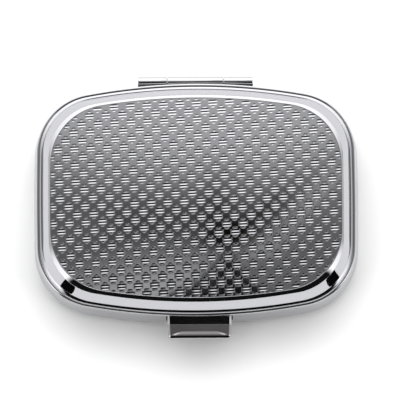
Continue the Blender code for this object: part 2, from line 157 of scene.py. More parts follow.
def srgb(code):
    """A colour given as an sRGB hex code, made linear."""
    channels = [int(code[i : i + 2], 16) / 255 for i in (1, 3, 5)]
    return tuple(c / 12.92 if c <= 0.04045 else ((c + 0.055) / 1.055) ** 2.4 for c in channels) + (1.0,)


def add_node(tree, kind, links=(), **settings):
    """A node with its settings, and its inputs set to values or linked to other nodes' outputs."""
    made = tree.nodes.new(kind)
    for name, value in settings.items():
        setattr(made, name, value)
    for socket, value in dict(links).items():
        if isinstance(value, bpy.types.NodeSocket):
            tree.links.new(value, made.inputs[socket])
        else:
            made.inputs[socket].default_value = value
    return made


def new_material(name, colour, metallic, roughness, **sockets):
    """A material with one Principled shader: its name, its node tree and the shader."""
    made = bpy.data.materials.new(name)
    made.use_nodes = True
    shader = made.node_tree.nodes["Principled BSDF"]
    values = {"Base Color": srgb(colour), "Metallic": metallic, "Roughness": roughness, **sockets}
    for socket, value in values.items():
        shader.inputs[socket].default_value = value
    return made, made.node_tree, shader


def grained(tree, shader, size, depth, strength=1.0):
    """A fine grain on a surface, of a real size and depth."""
    place = add_node(tree, "ShaderNodeTexCoord").outputs["Object"]
    sockets = {"Vector": place, "Scale": 1 / size, "Detail": 2.0}
    height = add_node(tree, "ShaderNodeTexNoise", sockets).outputs["Fac"]
    sockets = {"Height": height, "Distance": depth, "Strength": strength}
    bump = add_node(tree, "ShaderNodeBump", sockets)
    tree.links.new(bump.outputs[0], shader.inputs["Normal"])


def rub_marks(tree, shader, grain, depth, rough):
    """Fine rub marks: noise drawn out along X for the bump, and broad noise for the roughness."""
    place = add_node(tree, "ShaderNodeTexCoord").outputs["Object"]
    drawn = add_node(tree, "ShaderNodeMapping", {"Vector": place, "Scale": (0.12, 1, 1)}).outputs[0]
    fine = add_node(tree, "ShaderNodeTexNoise", {"Vector": drawn, "Scale": 1 / grain, "Detail": 3.0})
    patches = {"Vector": place, "Scale": 1 / (9 * MM), "Detail": 4.0}
    broad = add_node(tree, "ShaderNodeTexNoise", patches)
    spread = {"From Min": 0.3, "From Max": 0.7, "To Min": rough[0], "To Max": rough[1]}
    span = add_node(tree, "ShaderNodeMapRange", {"Value": broad.outputs["Fac"], **spread})
    bump = add_node(tree, "ShaderNodeBump", {"Height": fine.outputs["Fac"], "Distance": depth})
    tree.links.new(span.outputs[0], shader.inputs["Roughness"])
    tree.links.new(bump.outputs[0], shader.inputs["Normal"])


def bright_chrome(name, colour, rough, depth=0.00003 * MM):
    """Chrome plate on pressed steel: a cool, nearly mirror-like metal with faint rub marks."""
    made, tree, shader = new_material(name, colour, 1.0, rough[0])
    rub_marks(tree, shader, 0.08 * MM, depth, rough)
    return made


LID_CHROME = bright_chrome("chrome_plated_embossed_steel", "#BDBDC1", (0.025, 0.04))
RIM_CHROME = bright_chrome("chrome_plated_rolled_strip", "#C0C0C3", (0.03, 0.05))
# The base's plate takes a darker colour than the lid's: partly its own chrome, partly painted shade for
# the shadowed table that its front wall reflects.
BASE_CHROME_WITH_PAINTED_SHADE = bright_chrome("chrome_plated_drawn_steel_with_painted_shade", "#A6A6AA", (0.03, 0.06))
HINGE_CHROME = bright_chrome("chrome_plated_rolled_tube", "#BEBEC0", (0.05, 0.09))
CATCH_CHROME = bright_chrome("chrome_plated_stamped_steel", "#B4B1B2", (0.07, 0.14), 0.0001 * MM)


def spring_steel():
    """Rolled spring strip, bare and oiled: darker, with the rolling grain along its length."""
    made, tree, shader = new_material("cold_rolled_spring_steel", "#8E8C8B", 1.0, 0.3)
    rub_marks(tree, shader, 0.05 * MM, 0.0006 * MM, (0.24, 0.38))
    return made


def rivet_steel():
    """Cold-headed steel: a dull metal with a hammered look on its heads."""
    made, tree, shader = new_material("cold_headed_steel", "#A3A2A2", 1.0, 0.3)
    rub_marks(tree, shader, 0.2 * MM, 0.002 * MM, (0.25, 0.4))
    return made


def moulded_polypropylene():
    """Injection-moulded polypropylene: milky white, satin, with the mould's fine spark-eroded grain."""
    made, tree, shader = new_material("moulded_white_polypropylene", "#ECEBE6", 0.0, 0.38, IOR=1.49)
    shader.subsurface_method = "RANDOM_WALK"
    shader.inputs["Subsurface Weight"].default_value = 0.25
    shader.inputs["Subsurface Scale"].default_value = 1.2 * MM
    grained(tree, shader, 0.12 * MM, 0.004 * MM, 0.6)
    return made


def silvered_glass():
    """Float glass silvered behind: a sharp, faintly green mirror."""
    made, tree, shader = new_material("silvered_float_glass", "#EDF2EF", 1.0, 0.015)
    place = add_node(tree, "ShaderNodeTexCoord").outputs["Object"]
    sockets = {"Vector": place, "Scale": 1 / (12 * MM), "Detail": 5.0}
    haze = add_node(tree, "ShaderNodeTexNoise", sockets)
    span = add_node(
        tree, "ShaderNodeMapRange", {"Value": haze.outputs["Fac"], "To Min": 0.008, "To Max": 0.03}
    )
    tree.links.new(span.outputs[0], shader.inputs["Roughness"])
    return made


def ground_glass():
    """The mirror's ground edge: pale green, rough and slightly see-through."""
    made, tree, shader = new_material("ground_glass_edge", "#B9CFC4", 0.0, 0.45, IOR=1.52)
    grained(tree, shader, 0.08 * MM, 0.01 * MM)
    return made


def foam_tape():
    """Closed-cell polyethylene foam: dull white, pitted by its cut cells."""
    made, tree, shader = new_material("closed_cell_foam", "#E4E3DE", 0.0, 0.9)
    place = add_node(tree, "ShaderNodeTexCoord").outputs["Object"]
    cells = add_node(tree, "ShaderNodeTexVoronoi", {"Vector": place, "Scale": 1 / (0.25 * MM)})
    sockets = {"Height": cells.outputs["Distance"], "Distance": 0.05 * MM}
    bump = add_node(tree, "ShaderNodeBump", sockets)
    tree.links.new(bump.outputs[0], shader.inputs["Normal"])
    return made


# ---------------------------------------------------------------- plan and section tools


def arc(centre, radius, start, end, steps):
    """Points along an arc, leaving out its last one."""
    angles = [start + (end - start) * i / steps for i in range(steps)]
    return [(centre[0] + radius * cos(a), centre[1] + radius * sin(a)) for a in angles]


def outline(inset=0.0, half_width=RIM_HALF_WIDTH, half_depth=RIM_HALF_DEPTH):
    """The box's plan: four bowed sides and four round corners, anticlockwise from +X."""
    across, along = half_width - inset, half_depth - inset
    side, front, corner = (bow - inset for bow in (SHORT_SIDE_BOW, LONG_SIDE_BOW, CORNER_RADIUS))
    side_centre, front_centre = (across - side, 0.0), (0.0, along - front)
    # The corner arc touches both bows from inside, so its centre's distance from theirs is known.
    to_side, to_front = side - corner, front - corner
    gap_x, gap_y = -side_centre[0], front_centre[1]
    apart = hypot(gap_x, gap_y)
    foot = (to_side**2 - to_front**2 + apart**2) / (2 * apart)
    rise = sqrt(to_side**2 - foot**2)
    corner_centre = (
        side_centre[0] + (foot * gap_x - rise * gap_y) / apart,
        (foot * gap_y + rise * gap_x) / apart,
    )
    low = atan2(corner_centre[1], corner_centre[0] - side_centre[0])
    high = atan2(corner_centre[1] - front_centre[1], corner_centre[0])
    quarter = arc(side_centre, side, 0, low, ARC_STEPS[0])
    quarter += arc(corner_centre, corner, low, high, ARC_STEPS[1])
    quarter += arc(front_centre, front, high, pi / 2, ARC_STEPS[2])
    half = quarter + [(0.0, along)] + [(-x, y) for x, y in reversed(quarter)]
    return half + [(-x, -y) for x, y in half[1:-1]]


PANEL_OUTLINE = outline(0, PANEL_HALF_WIDTH, PANEL_HALF_DEPTH)


def level(points, z):
    """A ring at one height, as an array with a row for each point."""
    return np.column_stack([np.array(points), np.full(len(points), z)])


def rings_of(section):
    """The rings that a section of (inset, z) points sweeps round the plan."""
    return [level(outline(inset), z) for inset, z in section]


def fillet(points, radius, steps=4, closed=True):
    """A section with each corner rounded, as far as its neighbours leave room."""
    vectors = [Vector(point) for point in points]
    rounded = []
    for i, corner in enumerate(vectors):
        if not closed and i in (0, len(vectors) - 1):
            rounded.append(tuple(corner))
            continue
        before, after = vectors[i - 1] - corner, vectors[(i + 1) % len(vectors)] - corner
        half = before.angle(after) / 2
        back = min(radius / tan(half), 0.45 * before.length, 0.45 * after.length)
        centre = corner + (before.normalized() + after.normalized()).normalized() * back / cos(half)
        start, end = (corner + way.normalized() * back - centre for way in (before, after))
        for k in range(steps + 1):
            way = start.normalized().slerp(end.normalized(), k / steps)
            rounded.append(tuple(centre + way * start.length))
    return rounded


def at(ring, along):
    """The point of a ring at an index, which may lie between two of its points."""
    i = int(along) % len(ring)
    share = along - int(along)
    return ring[i] * (1 - share) + ring[(i + 1) % len(ring)] * share


def first_loop(ring):
    """A bmesh with one closed loop of edges. Each vertex keeps its place along the ring."""
    bm = bmesh.new()
    along = bm.verts.layers.float.new("along")
    verts = [bm.verts.new(point) for point in ring]
    for i, vert in enumerate(verts):
        vert[along] = i
    edges = [bm.edges.new((verts[i - 1], verts[i])) for i in range(len(verts))]
    return bm, edges


def grow(bm, edges, ring):
    """Extrudes a loop of edges, lays its new vertices on the ring, and returns its new edges."""
    along = bm.verts.layers.float["along"]
    made = bmesh.ops.extrude_edge_only(bm, edges=edges)["geom"]
    for item in made:
        if isinstance(item, bmesh.types.BMVert):
            item.co = at(ring, item[along])
    return [item for item in made if isinstance(item, bmesh.types.BMEdge)]


def swept(rings, closed_section=False, cap_first=False, cap_last=False):
    """A skin through rings of equally many points."""
    bm, edges = first_loop(rings[0])
    if cap_first:
        bmesh.ops.contextual_create(bm, geom=edges)
    for ring in rings[1:]:
        edges = grow(bm, edges, ring)
    if closed_section:
        grow(bm, edges, rings[0])
        bmesh.ops.remove_doubles(bm, verts=bm.verts, dist=0.0005 * MM)
    if cap_last:
        bmesh.ops.contextual_create(bm, geom=edges)
    return bm


def hoop(section, radius=0.1 * MM):
    """A hoop that follows the plan, from a closed section of (inset, z) points, with round corners."""
    return swept(rings_of(fillet(section, radius)), closed_section=True)


def block(low, high):
    """A box between two corners."""
    bm = bmesh.new()
    bmesh.ops.create_cube(bm, size=1)
    bmesh.ops.scale(bm, vec=Vector(high) - Vector(low), verts=bm.verts)
    bmesh.ops.translate(bm, vec=(Vector(high) + Vector(low)) / 2, verts=bm.verts)
    return bm


def soften(bm, width, segments=3, sharper_than=30 * DEGREE):
    """Rounds every edge that is sharper than an angle."""
    edges = [e for e in bm.edges if len(e.link_faces) == 2 and e.calc_face_angle() > sharper_than]
    bmesh.ops.bevel(
        bm,
        geom=edges,
        offset=width,
        offset_type="OFFSET",
        affect="EDGES",
        segments=segments,
        profile=0.5,
        material=-1,
        clamp_overlap=True,
    )
    return bm


def bar(start, end, radius, segments=48):
    """A round bar along X or Y."""
    bm = bmesh.new()
    along = Vector(end) - Vector(start)
    bmesh.ops.create_cone(
        bm, cap_ends=True, segments=segments, radius1=radius, radius2=radius, depth=along.length
    )
    bmesh.ops.transform(bm, matrix=along.to_track_quat("Z", "Y").to_matrix().to_4x4(), verts=bm.verts)
    bmesh.ops.translate(bm, vec=(Vector(start) + Vector(end)) / 2, verts=bm.verts)
    return bm


def merged(*parts):
    """Several bmeshes in one, each still its own closed shell."""
    bm = bmesh.new()
    for part in parts:
        spare = bpy.data.meshes.new("spare")
        part.to_mesh(spare)
        part.free()
        bm.from_mesh(spare)
        bpy.data.meshes.remove(spare)
    return bm


def new_object(name, bm, *materials, creased=False):
    """An object of a bmesh, smooth but for its sharp edges; a creased bmesh has marked its own."""
    bmesh.ops.recalc_face_normals(bm, faces=bm.faces)
    mesh = bpy.data.meshes.new(name)
    bm.to_mesh(mesh)
    bm.free()
    for made in materials:
        mesh.materials.append(made)
    mesh.shade_smooth()
    if not creased:
        mesh.set_sharp_from_angle(angle=35 * DEGREE)
    obj = bpy.data.objects.new(name, mesh)
    bpy.context.scene.collection.objects.link(obj)
    return obj


def settle(obj):
    """Puts an object's modifiers into its mesh."""
    graph = bpy.context.evaluated_depsgraph_get()
    finished = bpy.data.meshes.new_from_object(obj.evaluated_get(graph))
    obj.modifiers.clear()
    obj.data = finished
    return obj


def cut(obj, *cutters):
    """Takes each cutter's shape out of an object, and removes the cutters."""
    for shape in cutters:
        tool = new_object("cutter", shape)
        boolean = obj.modifiers.new("cut", "BOOLEAN")
        boolean.operation = "DIFFERENCE"
        boolean.object = tool
        settle(obj)
        bpy.data.objects.remove(tool)
    obj.data.set_sharp_from_angle(angle=35 * DEGREE)
    return obj


def thicken(obj, thickness, offset=-1):
    solidify = obj.modifiers.new("sheet", "SOLIDIFY")
    solidify.thickness = thickness
    solidify.offset = offset
    solidify.use_even_offset = True
    return settle(obj)


def install(obj, body, slot, *nodes):
    """A piece that stands for CAD nodes, hides them and rides on their body; its slot is not used."""
    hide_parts(*nodes)
    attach(obj, body)
    return obj


# ---------------------------------------------------------------- lid cover


def beyond(points, ring):
    """How far points lie outside a convex anticlockwise ring, and less than zero inside it."""
    ring = np.array(ring)
    along = np.roll(ring, -1, axis=0) - ring
    outward = np.column_stack([along[:, 1], -along[:, 0]]) / np.linalg.norm(along, axis=1)[:, None]
    return (points @ outward.T - (ring * outward).sum(axis=1)).max(axis=1)


def smooth_step(value, low, high):
    share = np.clip((value - low) / (high - low), 0, 1)
    return share * share * (3 - 2 * share)


def embossing(across, along):
    """Depth of the lozenges at points given along the pattern's own axes."""
    depth = np.zeros(len(across))
    for shift in (0.0, CELL / 2):
        p = (across - shift + CELL / 2) % CELL - CELL / 2
        q = (along - shift + CELL / 2) % CELL - CELL / 2
        reach = np.where(abs(q) < GROOVE_PITCH, LONG_GROOVE, SHORT_GROOVE)
        inside = np.clip((reach - abs(p)) / SHORT_GROOVE, 0, 1) * (abs(q) < 2 * GROOVE_PITCH)
        off_line = abs((q / GROOVE_PITCH) % 1 - 0.5) * GROOVE_PITCH
        depth += GROOVE_DEPTH * inside * np.clip(1 - off_line / GROOVE_HALF_WIDTH, 0, 1) ** 1.3
    return depth


def panel_height(x, y):
    """The panel's pillow: level along its long edges, and less bowed along its short ones."""
    bow = 1 - PANEL_SIDE_DROP * (x / PANEL_HALF_WIDTH) ** 2
    return PANEL_EDGE_Z + PANEL_DOME * bow * (1 - (y / PANEL_HALF_DEPTH) ** 2)


def grid_lines(count):
    """Places of the grid's lines in a number of cells: at the grooves' ends, and along their sides."""
    half = CELL / 2
    ends = [0.0, SHORT_GROOVE, LONG_GROOVE - SHORT_GROOVE, LONG_GROOVE, LONG_GROOVE + SHORT_GROOVE]
    ends = ends + [half - SHORT_GROOVE, half] + [-end for end in ends[1:]] + [SHORT_GROOVE - half]
    sides = [-GROOVE_HALF_WIDTH, -GROOVE_HALF_WIDTH / 2, 0.0, GROOVE_HALF_WIDTH / 2, GROOVE_HALF_WIDTH]
    sides = [(line + 0.5) * GROOVE_PITCH + side for line in range(-3, 3) for side in sides]
    columns, rows = (
        sorted(i * CELL + place for i in range(count) for place in places) for places in (ends, sides)
    )
    return columns, rows


def embossed_panel():
    """The panel, cut to its outline from a grid whose lines follow the grooves' crisp borders."""
    bm = bmesh.new()
    cells = [2 * int((reach + 3 * MM) / CELL) + 2 for reach in (PANEL_HALF_WIDTH, PANEL_HALF_DEPTH)]
    columns, rows = grid_lines(cells[0])[0], grid_lines(cells[1])[1]
    bmesh.ops.create_grid(bm, x_segments=len(columns) - 1, y_segments=len(rows) - 1, size=0.5)
    for vert in bm.verts:
        column = round((vert.co.x + 0.5) * (len(columns) - 1))
        row = round((vert.co.y + 0.5) * (len(rows) - 1))
        vert.co = (columns[column] - cells[0] // 2 * CELL, rows[row] - cells[1] // 2 * CELL, 0)
    turn = Matrix.Translation((*PATTERN_AT, 0)) @ Matrix.Rotation(PATTERN_TURN, 4, "Z")
    bmesh.ops.transform(bm, matrix=turn, verts=bm.verts)
    trim_to_outline(bm)
    points = np.array([vert.co for vert in bm.verts])
    pattern = (points - np.array([*PATTERN_AT, 0])) @ np.array(Matrix.Rotation(PATTERN_TURN, 3, "Z"))
    fade = smooth_step(-beyond(points[:, :2], PANEL_OUTLINE), 0.02 * MM, 0.3 * MM)
    heights = panel_height(points[:, 0], points[:, 1]) - fade * embossing(pattern[:, 0], pattern[:, 1])
    for vert, height in zip(bm.verts, heights):
        vert.co.z = height
    for edge in bm.edges:
        if len(edge.link_faces) == 2 and edge.is_convex:
            edge.smooth = edge.calc_face_angle() < 5 * DEGREE
    return bm


def trim_to_outline(bm):
    """Cuts a flat grid to the panel's outline, one side of the outline at a time."""
    bm.verts.ensure_lookup_table()
    outside = beyond(np.array([vert.co[:2] for vert in bm.verts]), PANEL_OUTLINE)
    far = [vert for vert, distance in zip(bm.verts, outside) if distance > 0.5 * MM]
    near = {vert for vert, distance in zip(bm.verts, outside) if -0.5 * MM < distance <= 0.5 * MM}
    bmesh.ops.delete(bm, geom=far, context="VERTS")
    faces = [face for face in bm.faces if near.intersection(face.verts)]
    band = faces + list({e for f in faces for e in f.edges}) + list({v for f in faces for v in f.verts})
    for here, ahead in zip(PANEL_OUTLINE, PANEL_OUTLINE[1:] + PANEL_OUTLINE[:1]):
        outward = Vector((ahead[1] - here[1], here[0] - ahead[0], 0)).normalized()
        cut_band = bmesh.ops.bisect_plane(
            bm, geom=band, dist=0.0005 * MM, plane_co=(*here, 0), plane_no=outward, clear_outer=True
        )
        band = cut_band["geom"]


def shoulder_drop(share):
    """How far down the shoulder is, from 0 at the panel's edge to 1 at its foot."""
    shares = np.linspace(0, 1, 101)
    slopes = np.tan(np.interp(shares, *zip(*SHOULDER_TILTS)) * DEGREE)
    drops = np.append(0, np.cumsum((slopes[1:] + slopes[:-1]) / 2))
    return float(np.interp(share, shares, drops / drops[-1]))


def shoulder_ring(share):
    """A ring of the shoulder, from 0 at the panel's edge to 1 at its foot."""
    lower, upper = np.array(outline(FOOT_INSET)), np.array(PANEL_OUTLINE)
    edge = panel_height(upper[:, 0], upper[:, 1])
    z = edge + (LID_EDGE_Z - edge) * shoulder_drop(share)
    return np.column_stack([upper + (lower - upper) * share, z])


def make_shoulder():
    """The shoulder round the panel: a bend, a steep slope, a hollow foot, a flange, and its inside."""
    shares = (0, 0.06, 0.12, 0.18, 0.24, 0.3, 0.34, 0.38, 0.5)
    shares += (0.65, 0.8, 0.83, 0.86, 0.89, 0.92, 0.96, 1)
    rings = [shoulder_ring(share) for share in shares]
    under = LID_EDGE_Z - 0.25 * MM
    flange = [(0.5 * MM, LID_EDGE_Z - 0.06 * MM), (0.46 * MM, LID_EDGE_Z - 0.14 * MM)]
    flange.append((0.5 * MM, under))
    rings += rings_of(flange + [(FOOT_INSET + SHEET, under)])
    rings += [shoulder_ring(share) * [0.972, 0.96, 1] - [0, 0, SHEET] for share in (0.7, 0.4, 0.1)]
    return swept(rings, closed_section=True)


def make_lid_cover():
    """The lid's pressing: an embossed panel with an underside, and the shoulder round it."""
    panel = embossed_panel()
    edges = [edge for edge in panel.edges if edge.is_boundary]
    for edge in edges:
        edge.smooth = False
    made = bmesh.ops.extrude_edge_only(panel, edges=edges)["geom"]
    lowered = [item for item in made if isinstance(item, bmesh.types.BMVert)]
    bmesh.ops.scale(panel, vec=(0.985, 0.98, 1), verts=lowered)
    bmesh.ops.translate(panel, vec=(0, 0, -SHEET), verts=lowered)
    loop = [item for item in made if isinstance(item, bmesh.types.BMEdge)]
    bmesh.ops.contextual_create(panel, geom=loop)
    obj = new_object("lid_cover_pressing", merged(panel, make_shoulder()), LID_CHROME, creased=True)
    return install(obj, "lid", "lid_steel", "lid_cover")


# ---------------------------------------------------------------- hoops and base


def make_lid_frame():
    """The lid's rim: a rolled bead that shows all round, and a wall up inside the cover."""
    outer, inner = 1.5 * MM, 1.9 * MM
    bead = 0.5 * MM
    bead_top = LID_RIM_Z + 0.66 * MM
    deck = LID_RIM_Z + 0.44 * MM
    section = [(0, LID_RIM_Z), (0, bead_top), (bead, bead_top), (bead + 0.04 * MM, deck)]
    section += [(outer, deck), (outer, LID_HOOP_TOP_Z), (inner, LID_HOOP_TOP_Z), (inner, LID_RIM_Z)]
    bm = hoop(section, 0.24 * MM)
    return install(new_object("lid_rim", bm, RIM_CHROME), "lid", "rim_steel", "lid_frame")


def make_base_cover():
    """The base's pan: a flared wall over a rounded belly, with its hinge and catch notches."""
    floor_inset = 3.0 * MM
    belly_z = 4.2 * MM
    edge_z = BASE_EDGE_Z + 0.18 * MM
    section = [(0.12 * MM, edge_z), (0.08 * MM, 8.2 * MM), (-0.1 * MM, 6.6 * MM), (-0.3 * MM, 5.2 * MM)]
    section += [(-0.45 * MM, belly_z + 0.25 * MM), (-BASE_FLARE, belly_z)]
    steps = 9
    reach = floor_inset + BASE_FLARE
    for i in range(1, steps + 1):
        angle = pi / 2 * i / steps
        section.append((floor_inset - reach * cos(angle), belly_z * (1 - sin(angle))))
    pan = new_object("base_pan", swept(rings_of(section), cap_last=True), BASE_CHROME_WITH_PAINTED_SHADE)
    thicken(pan, SHEET)
    half = HINGE_HALF_LENGTH + HINGE_CLEARANCE
    low_z = HINGE_Z - KNUCKLE_RADIUS - 0.25 * MM
    hinge_notch = block((-half, RIM_HALF_DEPTH - MM, low_z), (half, CLEAR_Y, CLEAR_Z))
    cut(pan, hinge_notch, catch_window(CLEAR_Z))
    return install(pan, "base", "base_steel", "base_cover")


def catch_window(top_z):
    """The window that the catch slides through, in the front wall."""
    half = TAB_HALF_WIDTH + 0.2 * MM
    low = (CATCH_X - half, -CLEAR_Y, TAB_LOW.z - 0.2 * MM)
    return block(low, (CATCH_X + half, EAR_Y - 0.1 * MM, top_z))


def make_base_frame():
    """The base's rim, and a wall down inside the pan."""
    outer, inner = 0.95 * MM, 1.35 * MM
    top = BASE_RIM_TOP_Z + 0.2 * MM
    low = BASE_EDGE_Z + 0.22 * MM
    foot = BASE_HOOP_FOOT_Z
    section = [(0, low), (0, top), (inner, top), (inner, foot), (outer, foot), (outer, low)]
    rim = new_object("base_rim", hoop(section, 0.14 * MM), RIM_CHROME)
    half = HINGE_HALF_LENGTH + HINGE_CLEARANCE
    leaf_gap = block((-half, 16 * MM, HINGE_Z + HINGE_CLEARANCE), (half, CLEAR_Y, CLEAR_Z))
    cut(rim, leaf_gap, catch_window(BASE_EDGE_Z + 0.18 * MM))
    return install(rim, "base", "rim_steel", "base_frame")


# ---------------------------------------------------------------- hinge


def knuckle(x_low, x_high):
    """A rolled tube about the hinge's axis, with rounded ends and an open bore."""
    tube = bar((x_low, HINGE_Y, HINGE_Z), (x_high, HINGE_Y, HINGE_Z), KNUCKLE_RADIUS)
    ends = [face for face in tube.faces if abs(face.normal.x) > 0.9]
    bmesh.ops.inset_individual(tube, faces=ends, thickness=KNUCKLE_RADIUS - KNUCKLE_BORE)
    bmesh.ops.bridge_loops(tube, edges=[e for f in ends for e in f.edges])
    return soften(tube, 0.1 * MM)


def strip_between(points, x_low, x_high, thickness):
    """Bent strip: an open (y, z) line, extruded along X and given its gauge, as a closed shell."""
    bm = bmesh.new()
    chain = [bm.verts.new((x_low, y, z)) for y, z in points]
    edges = [bm.edges.new(pair) for pair in zip(chain, chain[1:])]
    made = bmesh.ops.extrude_edge_only(bm, edges=edges)["geom"]
    moved = [item for item in made if isinstance(item, bmesh.types.BMVert)]
    bmesh.ops.translate(bm, vec=(x_high - x_low, 0, 0), verts=moved)
    bmesh.ops.recalc_face_normals(bm, faces=bm.faces)
    bmesh.ops.solidify(bm, geom=bm.faces, thickness=thickness)
    return bm


def make_lid_leaf():
    """The middle knuckle, and a leaf that runs in under the lid's rim and up inside its wall."""
    x = LID_KNUCKLE_HALF
    low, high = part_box("lid_hinge_leaf")
    y = low.y + HINGE_STRIP / 2
    line = [(y, high.z), (y, HINGE_DECK_Z), (HINGE_Y, HINGE_DECK_Z)]
    line = fillet(line, 0.3 * MM, 4, False)
    leaf = strip_between(line, -x, x, HINGE_STRIP)
    bm = merged(knuckle(-x, x), leaf)
    return install(new_object("lid_leaf", bm, HINGE_CHROME), "lid", "hinge_steel", "lid_hinge_leaf")


def make_base_leaf():
    """Both outer knuckles, on a leaf that hangs down inside the base."""
    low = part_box("base_hinge_leaf")[0]
    inner = LID_KNUCKLE_HALF + 0.08 * MM
    y = low.y + HINGE_STRIP / 2
    line = [(y, low.z), (y, HINGE_DECK_Z), (HINGE_Y, HINGE_DECK_Z)]
    line = fillet(line, 0.3 * MM, 4, False)
    parts = []
    for side in (-1, 1):
        ends = sorted((side * inner, side * HINGE_HALF_LENGTH))
        tube = knuckle(*ends)
        if side > 0:
            skew_knuckle(tube)
        parts += [tube, strip_between(line, *ends, HINGE_STRIP)]
    plate_top = HINGE_DECK_Z - 0.9 * MM
    parts.append(block((-inner, low.y, low.z), (inner, low.y + HINGE_STRIP, plate_top)))
    bm = merged(*parts)
    return install(new_object("base_leaf", bm, HINGE_CHROME), "base", "hinge_steel", "base_hinge_leaf")


def skew_knuckle(tube):
    """The right knuckle is rolled a little out of line, so its joint gapes on one side."""
    inner_end = Vector((LID_KNUCKLE_HALF, HINGE_Y, HINGE_Z))
    turn = Matrix.Rotation(-0.5 * DEGREE, 3, "Z")
    bmesh.ops.rotate(tube, cent=inner_end, matrix=turn, verts=tube.verts)


def make_hinge_pin():
    """The pin, with ends a little domed."""
    low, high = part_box("hinge_pin")
    pin = bar((low.x, HINGE_Y, HINGE_Z), (high.x, HINGE_Y, HINGE_Z), PIN_RADIUS, 32)
    soften(pin, 0.14 * MM, 3)
    return install(new_object("pin", pin, HINGE_CHROME), "base", "hinge_steel", "hinge_pin")


# ---------------------------------------------------------------- catch


def thumb_relief(x, y):
    """How far the tab's top lies below its highest level: a fall, a flat and a raised lip."""
    front = TAB_LOW.y + TAB_BEND
    past_root = y - FLAT_START_Y
    slope = ROOT_FALL * float(np.clip(past_root / ROOT_FALL_LENGTH, 0, 1)) + FLAT_SLOPE * past_root
    narrow, wide = LIP_HALF_WIDTH
    lip_half = narrow + (wide - narrow) * float(smooth_step(-y, -LIP_START_Y + 0.05 * MM, -front))
    beside = float(smooth_step(abs(x - CATCH_X), lip_half - LIP_EDGE, lip_half + LIP_EDGE))
    lip = LIP_HEIGHT * (1 - beside) * float(smooth_step(-y, -LIP_START_Y, -front))
    return 0.22 * MM - slope - lip


def round_edges(bm, edges, radius):
    """Rounds chosen edges."""
    bmesh.ops.bevel(
        bm,
        geom=edges,
        offset=radius,
        offset_type="OFFSET",
        affect="EDGES",
        segments=6,
        profile=0.5,
        material=-1,
    )


def slice_across(bm, places, axis):
    """Adds a line of edges across a bmesh at each place along an axis, 0 for X and 1 for Y."""
    for place in places:
        point, normal = [0, 0, 0], [0, 0, 0]
        point[axis], normal[axis] = place, 1
        geom = bm.faces[:] + bm.edges[:] + bm.verts[:]
        bmesh.ops.bisect_plane(bm, geom=geom, plane_co=point, plane_no=normal)


def tab_shell():
    """The thumb tab's outer skin: a block with round front corners and edges, open below and behind."""
    half = TAB_HALF_WIDTH
    tab = block((CATCH_X - half, TAB_LOW.y, TAB_LOW.z), (CATCH_X + half, TAB_ROOT_Y, TAB_HIGH.z))
    front = [e for e in tab.edges if all(v.co.y < TAB_LOW.y + MM for v in e.verts)]
    corners = [e for e in front if abs(e.verts[0].co.z - e.verts[1].co.z) > MM]
    round_edges(tab, corners, TAB_CORNER)
    rim = [e for e in tab.edges if all(v.co.z > TAB_HIGH.z - 0.01 * MM for v in e.verts)]
    rim = [e for e in rim if not all(v.co.y > TAB_ROOT_Y - 0.01 * MM for v in e.verts)]
    round_edges(tab, rim, TAB_BEND)
    gone = [f for f in tab.faces if f.normal.z < -0.9 or f.normal.y > 0.9]
    bmesh.ops.delete(tab, geom=gone, context="FACES")
    rows = [TAB_LOW.y + i * 0.1 * MM for i in range(1, 44)]
    slice_across(tab, [y for y in rows if y < TAB_ROOT_Y], 1)
    slice_across(tab, [CATCH_X + i * 0.22 * MM for i in range(-24, 25)], 0)
    return tab


def make_push_catch():
    """The catch: a thumb tab with bent-down edges, and a flat slide that runs in over the keeper."""
    tab = tab_shell()
    for vert in tab.verts:
        share = float(smooth_step(vert.co.z, TAB_HIGH.z - 1.5 * TAB_BEND, TAB_HIGH.z))
        vert.co.z -= share * thumb_relief(vert.co.x, vert.co.y)
        narrowed = 1 - TAB_TAPER * float(smooth_step(-vert.co.y, 19.5 * MM, 22.8 * MM))
        vert.co.x = CATCH_X + (vert.co.x - CATCH_X) * narrowed
    shell = thicken(new_object("tab_shell", tab, CATCH_CHROME), TAB_GAUGE)
    catch = bmesh.new()
    catch.from_mesh(shell.data)
    bpy.data.objects.remove(shell)
    obj = new_object("push_catch_stamping", merged(catch, *slide_parts()), CATCH_CHROME)
    return install(obj, "catch", "catch_steel", "push_catch")


def slide_parts():
    """The slide's plate round its keeper slot, its two ears, and its turned-down end."""
    top, low = TAB_HIGH.z - 0.02 * MM, TAB_HIGH.z - TAB_GAUGE
    wide, ear, slot = TAB_HALF_WIDTH, EAR_HALF_WIDTH, SLOT_HALF_WIDTH
    front, behind = SLOT_Y
    back = TAB_HIGH.y
    lap = 0.05 * MM
    spans = [((-wide, TAB_ROOT_Y - 0.3 * MM), (wide, front))]
    for side in (-1, 1):
        inner = (side * slot, front - lap), (side * wide, EAR_Y + lap)
        outer = (side * slot, EAR_Y), (side * ear, behind + lap)
        spans += [inner, outer]
    spans.append(((-ear, behind), (ear, back)))
    plates = []
    for a, b in spans:
        low_x, high_x = sorted((a[0], b[0]))
        plates.append(block((CATCH_X + low_x, a[1], low), (CATCH_X + high_x, b[1], top)))
    turned_down = block((CATCH_X - ear, back - TAB_GAUGE, TAB_LOW.z), (CATCH_X + ear, back, top))
    return [*plates, turned_down]


def make_keeper():
    """The lid's hook: a bent strip with a nose under the slide's edge."""
    low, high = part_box("lid_keeper")
    half = 0.2 * MM
    line = [(low.y + half, high.z), (low.y + half, low.z + half), (high.y, low.z + half)]
    bm = strip_between(fillet(line, 0.35 * MM, 5, False), low.x, high.x, 2 * half)
    soften(bm, 0.06 * MM, 2)
    return install(new_object("keeper", bm, CATCH_CHROME), "lid", "catch_steel", "lid_keeper")


